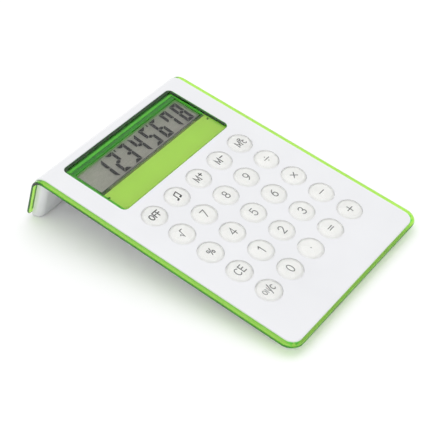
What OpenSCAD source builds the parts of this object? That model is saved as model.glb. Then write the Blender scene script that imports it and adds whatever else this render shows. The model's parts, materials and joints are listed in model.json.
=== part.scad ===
// Slim desk calculator: a thin tilted slab whose rear end bends down into a leg.
// A white top cover, a clear green trim plate and a white base cover form a bent sandwich.
//
// Part frame: +X to the user's right, +Y to the rear, +Z up.
// The origin is on the table, under the middle of the footprint.
//
// Most pieces are drawn in the slab frame: u = X, v = along the slab to the rear,
// w = out of the slab, with w = 0 on the top cover's face and u = v = 0 at the middle key.
// A bent piece is one cross-section, swept along the slab, round the bend and down the leg.
// In a cross-section, x is the distance from the bend's axis and y is u.

/* [Posture] */
// Tilt of the slab above the table, degrees
tilt = 9; // [6:0.5:12]
// Lean of the leg from the slab's normal, in steps of 4.35 degrees
leg_steps = 2; // [1:1:4]
// Radius of the bend at the top cover's face
bend_r = 8; // [8:0.5:10]
// Where the bend starts, measured from the middle key
bend_v = 76.5; // [76:0.5:80]
// Height of the covers above the table, under the leg
leg_clearance = 0.4; // [0.3:0.1:0.8]

/* [Trim plate] */
// Width of the clear trim plate, the widest piece
trim_w = 98.4; // [96:0.2:104]
// Front edge of the trim plate, measured forward from the middle key
trim_front = 55.5; // [54:0.5:60]
// Thickness of the trim plate at its rim
trim_t = 1.3; // [1.2:0.1:2]
// Step from the top cover's face down to the rim
trim_step = 0.5; // [0.3:0.1:0.8]
// Plan radius of the front corners of the trim plate
trim_corner_r = 6.5; // [4:0.5:8]
// Length of the trim plate down the leg, from the end of the bend
trim_leg = 18.9; // [17:0.1:20]

/* [Top cover] */
// Wall of the top cover
cover_t = 1; // [0.9:0.1:1.2]
// Distance from the rim's side to the top cover's side
cover_side_inset = 2.3; // [1.5:0.1:3]
// Distance from the rim's end to the top cover's end, at the front and on the leg
cover_end_inset = 1.5; // [1:0.1:2.5]
// Rounding of the top cover's outer edge
cover_edge_r = 0.6; // [0.3:0.1:0.8]

/* [Base cover] */
// Depth of the base cover below the trim plate
base_depth = 4.8; // [4.6:0.1:6]
// Wall of the base cover
base_wall = 1.2; // [1:0.1:1.4]
// Distance from the rim's side and front to the base cover
base_inset = 2.8; // [2:0.1:3.5]
// Rounding of the base cover's lower edges
base_edge_r = 3; // [2:0.1:3.4]

/* [Display] */
// Width of the window in the top cover
window_w = 74.4; // [72:0.2:76]
// Front edge of the window
window_front = 40.9; // [40:0.1:42]
// Rear edge of the window
window_rear = 76.8; // [75:0.1:77]
// Corner radius of the window
window_r = 2.5; // [1:0.5:4]
// Width of the display opening in the trim plate
display_w = 70; // [64:0.5:70]
// Front edge of the display opening
display_front = 55.2; // [55:0.1:57]
// Rear edge of the display opening
display_rear = 70.9; // [68:0.1:72]
// Corner radius of the display opening
display_r = 0.8; // [0.4:0.2:1.6]

/* [Keys] */
// Distance between key columns
key_pitch_u = 15.36; // [14.8:0.02:15.4]
// Distance between key rows
key_pitch_v = 15; // [14.8:0.1:15.4]
// Diameter of a key cap above the cover
key_d = 11.2; // [9:0.1:11.4]
// Height of a key cap above the cover
key_rise = 1.3; // [0.8:0.1:2]
// Travel of a key
key_travel = 0.9; // [0.5:0.1:0.9]

/* [Battery] */
// Diameter of the button cell
cell_d = 11.6; // [11.4:0.1:11.6]
// Thickness of the button cell
cell_t = 3.05; // [2.8:0.05:3.05]
// Position of the cell to the right of the middle
cell_u = 24; // [20:1:24]
// Position of the cell to the rear of the middle key
cell_v = 46.3; // [46:0.1:46.5]

/* [Hidden] */

WHITE = [0.94, 0.94, 0.95];
GREEN = [0.45, 0.8, 0.2, 0.6];
CLEAR = [0.93, 0.95, 0.96, 0.7];
GREY = [0.62, 0.63, 0.57];
BLACK = [0.08, 0.08, 0.09];
STEEL = [0.75, 0.76, 0.78];
BRASS = [0.8, 0.65, 0.3];

$fn = 64;
eps = 0.01;                                 // overshoot of a cut past a face
arc_steps = 8;                              // straight steps in a rounded corner
small_r = 1.2;                              // a corner below this radius is a small one
small_steps = 3;                            // straight steps in a small corner
far = 200;                                  // longer than the object
hole_low = -3;                              // a hole in the plates starts below them
hole_high = 1;                              // and ends above them
hole_h = hole_high - hole_low;
fit_gap = 0.05;                             // gap between pieces that locate each other

// Heights in the slab frame
rim_top = -trim_step;
plate_top = -cover_t;
plate_bottom = rim_top - trim_t;
base_bottom = plate_bottom - base_depth;
floor_top = base_bottom + base_wall;
board_t = 0.8;
board_rib = 0.4;                            // height of the ribs under the board
board_half = 37;
board_front = 50;
board_rear = 75.7;
board_corner_r = 1;
board_bottom = floor_top + board_rib;
board_top = board_bottom + board_t;

// Distances from the bend's axis
r_rim = bend_r + rim_top;
r_plate_top = bend_r + plate_top;
r_plate_bottom = bend_r + plate_bottom;
r_base = bend_r + base_bottom;
r_floor = bend_r + floor_top;

// Place of the slab frame in the part frame
bend_w = -bend_r;
leg_step = atan2(0.07584, 0.99712);         // its sine and cosine are exact decimals
leg_world = tilt + leg_steps * leg_step;    // the leg's lean from the vertical
front_foot_h = 0.55;                        // how far a front foot stands below the base cover
front_foot_r = 4;
front_foot_u = 33;
front_foot_v = -44;
foot_pocket = 0.4;                          // depth of a foot's pocket in the base cover
foot_front = front_foot_v - front_foot_r;
foot_w = base_bottom - front_foot_h;
origin_z = -(foot_front * sin(tilt) + foot_w * cos(tilt));
y_front = -trim_front * cos(tilt) - rim_top * sin(tilt);
bend_y = bend_v * cos(tilt) - bend_w * sin(tilt);
bend_z = bend_v * sin(tilt) + bend_w * cos(tilt) + origin_z;
y_rear = bend_y + r_rim * cos(leg_world) + trim_leg * sin(leg_world);
origin_y = -(y_front + y_rear) / 2;

// Widths and ends
cover_half = trim_w / 2 - cover_side_inset;
cover_front = trim_front - cover_end_inset;
cover_leg = trim_leg - cover_end_inset;
base_half = trim_w / 2 - base_inset;
base_front = trim_front - base_inset;
base_leg = 24;                              // longer than the leg, then cut above the table
leg_cavity = 17.5;

// Ribs under the circuit board
rib_w = 1;
RIB_COLUMNS = [-30, -10, 10, 30];
rib_front = -48;
rib_rear = 34;
DISPLAY_RIB_COLUMNS = [-34, 0, 34];
display_rib_front = 57;
display_rib_rear = 73;

// Key cap
key_r = key_d / 2;
key_gap = 0.25;                             // between a key cap and its hole
key_flange_r = key_r + 0.7;
key_flange_t = 0.55;
key_flange_top = plate_top - fit_gap;
key_flange_gap = 0.3;
key_plunger_r = 2.2;
key_plunger_h = 0.4;
key_shoulder = 0.5;                         // cap height at its edge, above the cover
key_shoulder_r = 0.35;                      // rounding of the cap's edge
dome_edge_r = key_r - key_shoulder_r;
dome_rise = key_rise - key_shoulder;
dome_r = (dome_edge_r * dome_edge_r + dome_rise * dome_rise) / (2 * dome_rise);
dome_angle = asin(dome_edge_r / dome_r);

// Keypad
sheet_t = 0.6;
sheet_top = board_top + sheet_t;
sheet_half_u = 36.8;
sheet_half_v = 37;
bump_r = 3.6;
bump_gap = 0.1;                             // between a pressed plunger and its bump
bump_top = key_flange_top - key_flange_t - key_plunger_h - key_travel - bump_gap;
sheet_corner_r = 2;
pill_r = 1.5;
pill_t = 0.3;
pill_rise = 0.2;                            // height of a contact pill above the board

// Display stack
glass_half = 35.8;
glass_front = 54.5;
glass_rear = 73.5;
glass_ledge = 2.1;                          // the front glass's contact ledge
film_t = 0.15;
film_margin = 0.3;                          // from the glass's edge to a film's edge
glass_t = 0.6;
stack_top = plate_bottom - 0.2;
front_glass_top = stack_top - film_t;
rear_glass_top = front_glass_top - glass_t;
reflector_top = rear_glass_top - glass_t;
frame_sheet_t = 0.3;
frame_rail = 1.1;
frame_rear = glass_rear + frame_rail + 0.2;
tab_l = 1.4;                                // notches near the display frame's corners
tab_w = 1;
tab_inset_u = 2;
tab_inset_v = 2.6;
connector_half = 30;
connector_margin = 0.2;

// Battery compartment
door_w = 19;
door_l = 13.4;
door_t = 1.1;
door_gap = 0.15;
door_corner_r = 1;
door_top = base_bottom + door_t;
ledge_t = 0.8;
ledge_margin = 1.4;
cell_gap = 0.3;
cell_ring_t = 1;
cell_top = plate_bottom - 0.5;
cell_bottom = cell_top - cell_t;
cell_ring_top = cell_top - 0.6;
cell_cap_h = 0.4;                           // the cap on top of the can
cell_cap_inset = 1.2;
grip_u = cell_u + 6;                        // middle groove of the door's grip
grip_pitch = 1.2;
grip_w = 0.6;
grip_l = 7;
grip_depth = 0.3;
contact_t = 0.15;
contact_w = 3;
contact_slot_u = 7.5;                       // slots in the ring round the cell
contact_slot_l = 6;
contact_reach = 1.6;                        // from the battery ledge to a contact's foot
board_cut_u = door_w / 2 + ledge_margin + 0.4;
board_cut_v = door_l / 2 + ledge_margin + 0.2;

// Small parts on the board, [u, v]
CHIP_PLACE = [-20, 46.5];
chip_r = 4.5;
chip_h = 1.3;
RESISTOR_PLACES = [[-8, 44], [-8, 47]];
RESISTOR_SIZE = [1.6, 0.8, 0.5];
CAPACITOR_PLACES = [[-3, 44], [-3, 48], [3, 46]];
CAPACITOR_SIZE = [2, 1.25, 0.9];

// Buzzer in the leg
leg_middle = 9;                             // down the leg, from the end of the bend
buzzer_r = 7;
buzzer_t = 0.2;
ceramic_r = 4.8;
ceramic_t = 0.25;
lead_r = 0.3;
lead_u = 2;
lead_run = 4;                               // down the leg, to the buzzer

// Case screws, into posts under the top cover
SCREW_PLACES = [for (u = [-40.5, 40.5]) for (v = [-47, 8, 60]) [u, v]];
screw_r = 0.95;
screw_head_r = 1.8;
screw_head_t = 1.3;
screw_tip = -1.7;
screw_hole_end = screw_tip + 0.2;
screw_recess_r = screw_head_r + 0.2;
screw_clearance_r = screw_r + 0.25;
cross_l = 2.2;                              // the cross in a screw's head
cross_w = 0.5;
cross_depth = 0.7;
post_r = 2.2;
post_hole_r = post_r + 0.2;
post_end = -4;
boss_r = 3.2;
screw_seat = base_bottom + 1.4;

// Rear feet
rear_foot_l = 14;
rear_foot_w = 2.6;
rear_foot_t = 0.9;
rear_foot_x = 32;
rear_foot_r = 0.8;

// Points on an arc, fewer on a small one
function arc(x, y, r, from, to, steps = arc_steps) =
    let (count = r < small_r ? small_steps : steps)
    [
        for (i = [0:count])
            let (a = from + (to - from) * i / count)
            [x + r * cos(a), y + r * sin(a)]
    ];

// A rectangle with round corners
module rounded_rect(x0, x1, y0, y1, r) {
    polygon(concat(
        arc(x1 - r, y0 + r, r, -90, 0),
        arc(x1 - r, y1 - r, r, 0, 90),
        arc(x0 + r, y1 - r, r, 90, 180),
        arc(x0 + r, y0 + r, r, 180, 270)
    ));
}

// Puts what is drawn in the slab frame into the part frame
module in_slab() {
    translate([0, origin_y, origin_z]) rotate([tilt, 0, 0]) children();
}

// Turns the leg back from the slab's normal, one step at a time
module lean(steps = leg_steps) {
    if (steps == 0)
        children();
    else
        rotate([leg_step, 0, 0]) lean(steps - 1) children();
}

// Sweeps a cross-section, symmetric about u = 0, from the front edge, round the bend and
// down the leg. The bend is the part of a whole ring that lies behind the slab's end and
// above the leg's start, so it meets both straight runs face to face.
module bent(front, leg) {
    translate([0, bend_v, bend_w]) {
        rotate([90, -90, 0]) linear_extrude(height = bend_v + front) children();
        intersection() {
            rotate([0, 90, 0]) rotate_extrude() children();
            translate([-far / 2, 0, -far / 2]) cube(far);
            lean() translate([-far / 2, -far / 2, 0]) cube(far);
        }
        lean() rotate([180, 0, 90]) linear_extrude(height = leg) children();
    }
}

// A block with the slab's plan outline: round front corners, open to the rear
module plan_block(half, front, r) {
    translate([0, 0, -far / 2]) linear_extrude(height = far)
        rounded_rect(-half, half, -front, far, r);
}

// A plate between two heights, in the slab frame, with square or round corners
module plate(x0, x1, y0, y1, low, high, r = 0) {
    if (r == 0)
        translate([x0, y0, low]) cube([x1 - x0, y1 - y0, high - low]);
    else
        translate([0, 0, low]) linear_extrude(height = high - low)
            rounded_rect(x0, x1, y0, y1, r);
}

// A disc between two heights, in the slab frame
module disc(u, v, r, low, high) {
    translate([u, v, low]) cylinder(r = r, h = high - low);
}

module at_keys() {
    for (column = [-2:2]) for (row = [-2:2])
        translate([column * key_pitch_u, row * key_pitch_v, 0]) children();
}

module at_screws() {
    for (place = SCREW_PLACES) translate([place[0], place[1], 0]) children();
}

// Cross-section of the top cover, with rounded outer edges
module cover_section() {
    polygon(concat(
        [[r_plate_top, -cover_half]],
        arc(bend_r - cover_edge_r, -cover_half + cover_edge_r, cover_edge_r, -90, 0),
        arc(bend_r - cover_edge_r, cover_half - cover_edge_r, cover_edge_r, 0, 90),
        [[r_plate_top, cover_half]]
    ));
}

// Cross-section of the base cover or of its cavity, with rounded lower edges
module base_section(low, half, r) {
    polygon(concat(
        [[r_plate_bottom, half]],
        arc(low + r, half - r, r, 90, 180),
        arc(low + r, -half + r, r, 180, 270),
        [[r_plate_bottom, -half]]
    ));
}

module top_cover() {
    corner_r = trim_corner_r - cover_end_inset;
    color(WHITE) in_slab() difference() {
        union() {
            intersection() {
                bent(cover_front, cover_leg) cover_section();
                plan_block(cover_half, cover_front, corner_r);
            }
            at_screws() translate([0, 0, post_end])
                cylinder(r = post_r, h = plate_top - post_end + eps);
        }
        plate(-window_w / 2, window_w / 2, window_front, window_rear,
            hole_low, hole_high, window_r);
        at_keys() translate([0, 0, hole_low]) cylinder(r = key_r + key_gap, h = hole_h);
        at_screws() translate([0, 0, post_end - 1])
            cylinder(r = screw_r + fit_gap, h = screw_hole_end - post_end + 1);
    }
}

module trim_plate() {
    color(GREEN) in_slab() difference() {
        intersection() {
            bent(trim_front, trim_leg)
                translate([r_plate_bottom, -trim_w / 2]) square([trim_t, trim_w]);
            plan_block(trim_w / 2, trim_front, trim_corner_r);
        }
        intersection() {
            bent(cover_front + fit_gap, cover_leg + fit_gap)
                translate([r_plate_top, -cover_half - fit_gap])
                    square([trim_t, 2 * (cover_half + fit_gap)]);
            plan_block(cover_half + fit_gap, cover_front + fit_gap,
                trim_corner_r - cover_end_inset);
        }
        plate(-display_w / 2, display_w / 2, display_front, display_rear,
            hole_low, hole_high, display_r);
        at_keys() translate([0, 0, hole_low])
            cylinder(r = key_flange_r + key_flange_gap, h = hole_h);
        at_screws() translate([0, 0, hole_low]) cylinder(r = post_hole_r, h = hole_h);
    }
}

module base_cover() {
    cavity_half = base_half - base_wall;
    cavity_front = base_front - base_wall;
    corner_r = trim_corner_r - base_inset;
    color(WHITE) difference() {
        union() {
            in_slab() difference() {
                intersection() {
                    bent(base_front, base_leg) base_section(r_base, base_half, base_edge_r);
                    plan_block(base_half, base_front, corner_r);
                    base_front_rounding();
                }
                intersection() {
                    bent(cavity_front, leg_cavity)
                        base_section(r_floor, cavity_half, base_edge_r - base_wall);
                    plan_block(cavity_half, cavity_front, corner_r - base_wall);
                }
            }
            in_slab() base_fittings();
        }
        in_slab() base_cuts();
        translate([-far / 2, -far / 2, leg_clearance - far]) cube(far);
        rear_foot_places()
            rear_foot(rear_foot_l + 2 * fit_gap, rear_foot_w + 2 * fit_gap);
    }
}

// Rounds the lower front edge of the base cover
module base_front_rounding() {
    rotate([90, 0, 90]) translate([0, 0, -far / 2]) linear_extrude(height = far)
        polygon(concat(
            [[-base_front, far]],
            arc(base_edge_r - base_front, base_bottom + base_edge_r, base_edge_r, 180, 270),
            [[bend_v, base_bottom], [bend_v, -far], [far, -far], [far, far]]
        ));
}

// Screw bosses, board ribs, the battery ledge and the ring round the cell
module base_fittings() {
    at_screws() translate([0, 0, floor_top - eps])
        cylinder(r = boss_r, h = post_end - floor_top + eps);
    for (u = RIB_COLUMNS)
        plate(u - rib_w / 2, u + rib_w / 2, rib_front, rib_rear, floor_top - eps, board_bottom);
    for (u = DISPLAY_RIB_COLUMNS)
        plate(u - rib_w / 2, u + rib_w / 2, display_rib_front, display_rib_rear,
            floor_top - eps, board_bottom);
    plate(cell_u - door_w / 2 - ledge_margin, cell_u + door_w / 2 + ledge_margin,
        cell_v - door_l / 2 - ledge_margin, cell_v + door_l / 2 + ledge_margin,
        floor_top - eps, door_top + ledge_t);
    disc(cell_u, cell_v, cell_d / 2 + cell_gap + cell_ring_t, floor_top, cell_ring_top);
}

// Screw holes, the battery opening and the pockets for the front feet
module base_cuts() {
    at_screws() {
        translate([0, 0, base_bottom - 1])
            cylinder(r = screw_recess_r, h = screw_seat - base_bottom + 1);
        translate([0, 0, base_bottom]) cylinder(r = screw_clearance_r, h = base_depth);
    }
    plate(cell_u - door_w / 2 - door_gap, cell_u + door_w / 2 + door_gap,
        cell_v - door_l / 2 - door_gap, cell_v + door_l / 2 + door_gap,
        base_bottom - 1, door_top, door_corner_r + door_gap);
    disc(cell_u, cell_v, cell_d / 2 + cell_gap, base_bottom, 0);
    for (side = [-1, 1])
        plate(cell_u + side * contact_slot_u - contact_slot_l / 2,
            cell_u + side * contact_slot_u + contact_slot_l / 2,
            cell_v - contact_w / 2 - cell_gap, cell_v + contact_w / 2 + cell_gap,
            door_top + ledge_t, 0);
    for (side = [-1, 1])
        disc(side * front_foot_u, front_foot_v, front_foot_r + fit_gap,
            base_bottom - 1, base_bottom + foot_pocket);
}

// The lid of the cell, with three grip grooves
module battery_door() {
    color(WHITE) in_slab() difference() {
        plate(cell_u - door_w / 2, cell_u + door_w / 2, cell_v - door_l / 2, cell_v + door_l / 2,
            base_bottom, door_top - fit_gap, door_corner_r);
        for (i = [-1:1])
            plate(grip_u + i * grip_pitch - grip_w / 2, grip_u + i * grip_pitch + grip_w / 2,
                cell_v - grip_l / 2, cell_v + grip_l / 2,
                base_bottom - 1, base_bottom + grip_depth);
    }
}

// White frame behind the clear plate: the panel in front of the display, and its rails
module display_frame() {
    panel_rear = glass_front - 0.3;
    outer = glass_half + 0.1 + frame_rail;
    color(WHITE) in_slab() difference() {
        union() {
            plate(-outer, outer, window_front - 0.3, panel_rear,
                plate_bottom - frame_sheet_t, plate_bottom - eps);
            plate(-outer, outer, panel_rear - frame_rail, panel_rear,
                rear_glass_top, plate_bottom - eps);
            for (side = [-1, 1])
                plate(side * (outer - frame_rail / 2) - frame_rail / 2,
                    side * (outer - frame_rail / 2) + frame_rail / 2,
                    panel_rear - frame_rail, frame_rear, board_top + eps, plate_bottom - eps);
            plate(-outer, outer, frame_rear - frame_rail, frame_rear,
                board_top + eps, plate_bottom - eps);
        }
        for (side = [-1, 1])
            plate(side * (outer - tab_inset_u) - tab_l / 2, side * (outer - tab_inset_u) + tab_l / 2,
                panel_rear - tab_inset_v - tab_w / 2, panel_rear - tab_inset_v + tab_w / 2,
                plate_bottom - 1, plate_bottom + 1);
    }
}

module lcd_layer(top, t, rear_margin, front_margin) {
    plate(-glass_half, glass_half, glass_front + front_margin, glass_rear - rear_margin,
        top - t, top);
}

module lcd_polariser() {
    color(GREY) in_slab() lcd_layer(stack_top, film_t, film_margin, film_margin);
}

module lcd_front_glass() {
    color(CLEAR) in_slab() lcd_layer(front_glass_top, glass_t, 0, 0);
}

module lcd_rear_glass() {
    color(CLEAR) in_slab() lcd_layer(rear_glass_top, glass_t, 0, glass_ledge);
}

module lcd_reflector() {
    color(GREY) in_slab() lcd_layer(reflector_top, film_t, film_margin, glass_ledge + film_margin);
}

// Striped rubber strip that joins the glass to the board
module lcd_connector() {
    color(BLACK) in_slab()
        plate(-connector_half, connector_half, glass_front + connector_margin,
            glass_front + glass_ledge - connector_margin, board_top, rear_glass_top);
}

module circuit_board() {
    color([0.15, 0.45, 0.25]) in_slab() difference() {
        plate(-board_half, board_half, -board_front, board_rear, board_bottom, board_top,
            board_corner_r);
        plate(cell_u - board_cut_u, cell_u + board_cut_u, cell_v - board_cut_v,
            cell_v + board_cut_v, board_bottom - 1, board_top + 1, board_corner_r / 2);
    }
}

// One silicone rubber sheet with a bump under each key
module keypad_sheet() {
    color([0.85, 0.85, 0.83]) in_slab() difference() {
        union() {
            plate(-sheet_half_u, sheet_half_u, -sheet_half_v, sheet_half_v,
                board_top, sheet_top, sheet_corner_r);
            at_keys() translate([0, 0, sheet_top - eps])
                cylinder(r = bump_r, h = bump_top - sheet_top + eps);
        }
        at_keys() translate([0, 0, board_top - 1])
            cylinder(r = pill_r + fit_gap, h = 1 + pill_rise + pill_t + fit_gap);
    }
}

module contact_pills() {
    color(BLACK) in_slab() at_keys() translate([0, 0, board_top + pill_rise])
        cylinder(r = pill_r, h = pill_t);
}

// The chip under its drop of black resin
module chip() {
    crown_r = (chip_r * chip_r + chip_h * chip_h) / (2 * chip_h);
    crown_angle = asin(chip_r / crown_r);
    color(BLACK) in_slab() translate([CHIP_PLACE[0], CHIP_PLACE[1], board_top]) rotate_extrude()
        polygon(concat([[0, 0]], arc(0, chip_h - crown_r, crown_r, 90 - crown_angle, 90)));
}

module small_parts(places, size) {
    for (place = places)
        plate(place[0] - size[0] / 2, place[0] + size[0] / 2,
            place[1] - size[1] / 2, place[1] + size[1] / 2, board_top, board_top + size[2]);
}

module resistors() {
    color(BLACK) in_slab() small_parts(RESISTOR_PLACES, RESISTOR_SIZE);
}

module capacitors() {
    color([0.7, 0.6, 0.45]) in_slab() small_parts(CAPACITOR_PLACES, CAPACITOR_SIZE);
}

// Puts a disc flat against the inside of the leg's inner wall
module in_leg(offset_r) {
    in_slab() translate([0, bend_v, bend_w]) lean()
        translate([0, offset_r, -leg_middle]) rotate([-90, 0, 0]) children();
}

module buzzer_plate() {
    color(BRASS) in_leg(r_floor + eps) cylinder(r = buzzer_r, h = buzzer_t);
}

module buzzer_ceramic() {
    color([0.9, 0.88, 0.8]) in_leg(r_floor + buzzer_t + 2 * eps)
        cylinder(r = ceramic_r, h = ceramic_t);
}

// Two thin wires from the board's rear edge, round the bend, to the buzzer
module buzzer_leads() {
    lead_offset = bend_r + board_top + lead_r + eps;
    lead_start = frame_rear + 0.1;
    color([0.75, 0.1, 0.1]) in_slab() bent(-lead_start, lead_run)
        for (side = [-1, 1]) translate([lead_offset, side * lead_u]) circle(r = lead_r, $fn = 16);
}

module button_cell() {
    color(STEEL) in_slab() {
        disc(cell_u, cell_v, cell_d / 2, cell_bottom, cell_top - cell_cap_h);
        disc(cell_u, cell_v, cell_d / 2 - cell_cap_inset, cell_top - cell_cap_h - eps, cell_top);
    }
}

// Leaf on the cell's cap, with a foot down to the board
module battery_contact_negative() {
    board_edge = cell_u + door_w / 2 + ledge_margin + contact_reach;
    color(STEEL) in_slab() {
        plate(cell_u - 2, board_edge, cell_v - contact_w / 2, cell_v + contact_w / 2,
            cell_top, cell_top + contact_t);
        plate(board_edge - contact_t, board_edge, cell_v - contact_w / 2, cell_v + contact_w / 2,
            board_top, cell_top + contact_t);
    }
}

// Upright leaf against the cell's can, with an arm over to the board
module battery_contact_positive() {
    leaf_u = cell_u - cell_d / 2 - contact_t;
    board_edge = cell_u - door_w / 2 - ledge_margin - contact_reach;
    arm_top = cell_top - 0.7;
    color(STEEL) in_slab() {
        plate(leaf_u, leaf_u + contact_t, cell_v - contact_w / 2, cell_v + contact_w / 2,
            door_top + ledge_t + 0.1, arm_top);
        plate(board_edge, leaf_u + contact_t, cell_v - contact_w / 2, cell_v + contact_w / 2,
            arm_top - contact_t, arm_top);
        plate(board_edge, board_edge + contact_t, cell_v - contact_w / 2, cell_v + contact_w / 2,
            board_top, arm_top);
    }
}

module case_screws() {
    color(STEEL) in_slab() at_screws() difference() {
        union() {
            translate([0, 0, screw_seat - screw_head_t])
                cylinder(r = screw_head_r, h = screw_head_t);
            translate([0, 0, screw_seat - eps])
                cylinder(r = screw_r, h = screw_tip - screw_seat + eps);
        }
        for (turn = [0, 90]) rotate([0, 0, turn])
            translate([-cross_l / 2, -cross_w / 2, screw_seat - screw_head_t - 1])
                cube([cross_l, cross_w, 1 + cross_depth]);
    }
}

// Round rubber feet in pockets of the base cover, cut level with the table
module front_feet() {
    color(BLACK) intersection() {
        in_slab() for (side = [-1, 1])
            disc(side * front_foot_u, front_foot_v, front_foot_r,
                base_bottom - base_depth, base_bottom + foot_pocket);
        translate([-far / 2, -far / 2, 0]) cube(far);
    }
}

module rear_foot_places() {
    bottom_r = (r_base + r_plate_bottom) / 2;
    down = (bend_z + bottom_r * sin(leg_world)) / cos(leg_world);
    y = origin_y + bend_y + bottom_r * cos(leg_world) + down * sin(leg_world);
    for (side = [-1, 1]) translate([side * rear_foot_x, y, 0]) children();
}

module rear_foot(l, w) {
    linear_extrude(height = rear_foot_t) rounded_rect(-l / 2, l / 2, -w / 2, w / 2, rear_foot_r);
}

module rear_feet() {
    color(BLACK) rear_foot_places() rear_foot(rear_foot_l, rear_foot_w);
}

// A clear domed cap, the flange that keeps it under the top cover, and the plunger
module key(column, row) {
    flange_bottom = key_flange_top - key_flange_t;
    color(CLEAR) in_slab() translate([column * key_pitch_u, row * key_pitch_v, 0])
        rotate_extrude() polygon(concat(
            [[0, flange_bottom - key_plunger_h], [key_plunger_r, flange_bottom - key_plunger_h],
             [key_plunger_r, flange_bottom], [key_flange_r, flange_bottom],
             [key_flange_r, key_flange_top], [key_r, key_flange_top]],
            arc(key_r - key_shoulder_r, key_shoulder - key_shoulder_r, key_shoulder_r, 0, 75),
            [for (i = [1:arc_steps]) let (a = dome_angle * (1 - i / arc_steps))
                [dome_r * sin(a), key_rise - dome_r + dome_r * cos(a)]]
        ));
}

top_cover();
trim_plate();
base_cover();
battery_door();
display_frame();
lcd_polariser();
lcd_front_glass();
lcd_rear_glass();
lcd_reflector();
lcd_connector();
circuit_board();
keypad_sheet();
contact_pills();
chip();
resistors();
capacitors();
buzzer_plate();
buzzer_ceramic();
buzzer_leads();
button_cell();
battery_contact_positive();
battery_contact_negative();
case_screws();
front_feet();
rear_feet();
key(-2, 2);  // key_off
key(-1, 2);  // key_music
key(0, 2);  // key_m_plus
key(1, 2);  // key_m_minus
key(2, 2);  // key_mrc
key(-2, 1);  // key_root
key(-1, 1);  // key_7
key(0, 1);  // key_8
key(1, 1);  // key_9
key(2, 1);  // key_divide
key(-2, 0);  // key_percent
key(-1, 0);  // key_4
key(0, 0);  // key_5
key(1, 0);  // key_6
key(2, 0);  // key_multiply
key(-2, -1);  // key_ce
key(-1, -1);  // key_1
key(0, -1);  // key_2
key(1, -1);  // key_3
key(2, -1);  // key_minus
key(-2, -2);  // key_on
key(-1, -2);  // key_0
key(0, -2);  // key_point
key(1, -2);  // key_equals
key(2, -2);  // key_plus
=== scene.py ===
"""A slim desk calculator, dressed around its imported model. Metres, in the model's own frame."""

import json
import math

import bmesh
import bpy
from mathutils import Matrix, Vector


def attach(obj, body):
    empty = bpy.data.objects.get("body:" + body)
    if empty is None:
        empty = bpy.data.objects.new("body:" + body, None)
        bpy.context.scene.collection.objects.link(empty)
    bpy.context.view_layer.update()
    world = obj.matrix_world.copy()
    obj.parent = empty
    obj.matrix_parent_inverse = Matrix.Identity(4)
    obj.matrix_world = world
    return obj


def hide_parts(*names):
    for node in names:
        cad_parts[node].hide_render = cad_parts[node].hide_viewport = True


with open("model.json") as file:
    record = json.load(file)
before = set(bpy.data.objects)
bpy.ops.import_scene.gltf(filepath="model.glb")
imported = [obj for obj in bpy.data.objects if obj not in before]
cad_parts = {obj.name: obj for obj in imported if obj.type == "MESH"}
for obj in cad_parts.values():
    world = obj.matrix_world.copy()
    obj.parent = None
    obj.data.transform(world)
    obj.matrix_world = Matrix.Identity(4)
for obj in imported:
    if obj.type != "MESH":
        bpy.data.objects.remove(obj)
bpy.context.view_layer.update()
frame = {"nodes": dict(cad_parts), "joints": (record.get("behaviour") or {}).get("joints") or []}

MM = 0.001

# ---------------------------------------------------------------- the slab frame
# Sizes below are in millimetres: u across, s along the slab and on down the leg,
# h above the top cover's face.

KEY_RISE = 1.3                      # a key cap's top above the cover's face
BEND_START = 76.5                   # where the bend starts
BEND_R = 8.0                        # its radius at the cover's face
LEG_LEAN = 8.699                    # the leg's lean from the slab's normal, degrees
BEND_ANGLE = math.radians(90 - LEG_LEAN)
LEG_START = BEND_START + BEND_R * BEND_ANGLE
BEND_STEPS = 30
LEG_CLEARANCE = 0.4                 # the base cover's height above the table


def slab_axes():
    """The slab's three directions, from the way a key is pressed."""
    press = next(j for j in frame["joints"] if j["name"] == "key_5_press")
    out = -Vector(press["axis"]).normalized()
    across = Vector((1, 0, 0))
    return across, out.cross(across), out


ACROSS, ALONG, OUT = slab_axes()


def slab_origin():
    """The point under the middle key's top, on the cover's face."""
    spots = [v.co for v in frame["nodes"]["key_5"].data.vertices]
    runs = [p.dot(ALONG) for p in spots]
    heights = [p.dot(OUT) for p in spots]
    middle = (min(runs) + max(runs)) / 2
    return ALONG * middle + OUT * (max(heights) - KEY_RISE * MM)


ORIGIN = slab_origin()


def slab_box(node):
    """Lowest and highest corner of a CAD node in the slab frame, in millimetres."""
    spots = [(v.co - ORIGIN) / MM for v in frame["nodes"][node].data.vertices]
    sides = [[p.dot(axis) for p in spots] for axis in (ACROSS, ALONG, OUT)]
    return Vector(map(min, sides)), Vector(map(max, sides))


def unrolled(u, s, h):
    """Place in the part frame, and the directions along and out of the sheet there."""
    if s <= BEND_START:
        turn, v, w = 0.0, s, h
    else:
        turn = min((s - BEND_START) / BEND_R, BEND_ANGLE)
        down = max(s - LEG_START, 0.0)
        v = BEND_START + (BEND_R + h) * math.sin(turn) + down * math.cos(turn)
        w = -BEND_R + (BEND_R + h) * math.cos(turn) - down * math.sin(turn)
    along = ALONG * math.cos(turn) - OUT * math.sin(turn)
    out = ALONG * math.sin(turn) + OUT * math.cos(turn)
    return ORIGIN + (ACROSS * u + ALONG * v + OUT * w) * MM, along, out


def leg_length(h):
    """Length of the leg from the bend to the height of its clearance, at a height in the sheet."""
    end, along, _ = unrolled(0, LEG_START, h)
    return (end.z - LEG_CLEARANCE * MM) / -along.z / MM


BASE_LEG = leg_length(-1.8)


def down_to_table(u, s, h):
    """As unrolled, with the leg stretched so that its end is level with the table."""
    if s > LEG_START:
        s = LEG_START + (s - LEG_START) * leg_length(h) / BASE_LEG
    return unrolled(u, s, h)


# ---------------------------------------------------------------- outlines and paths

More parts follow.
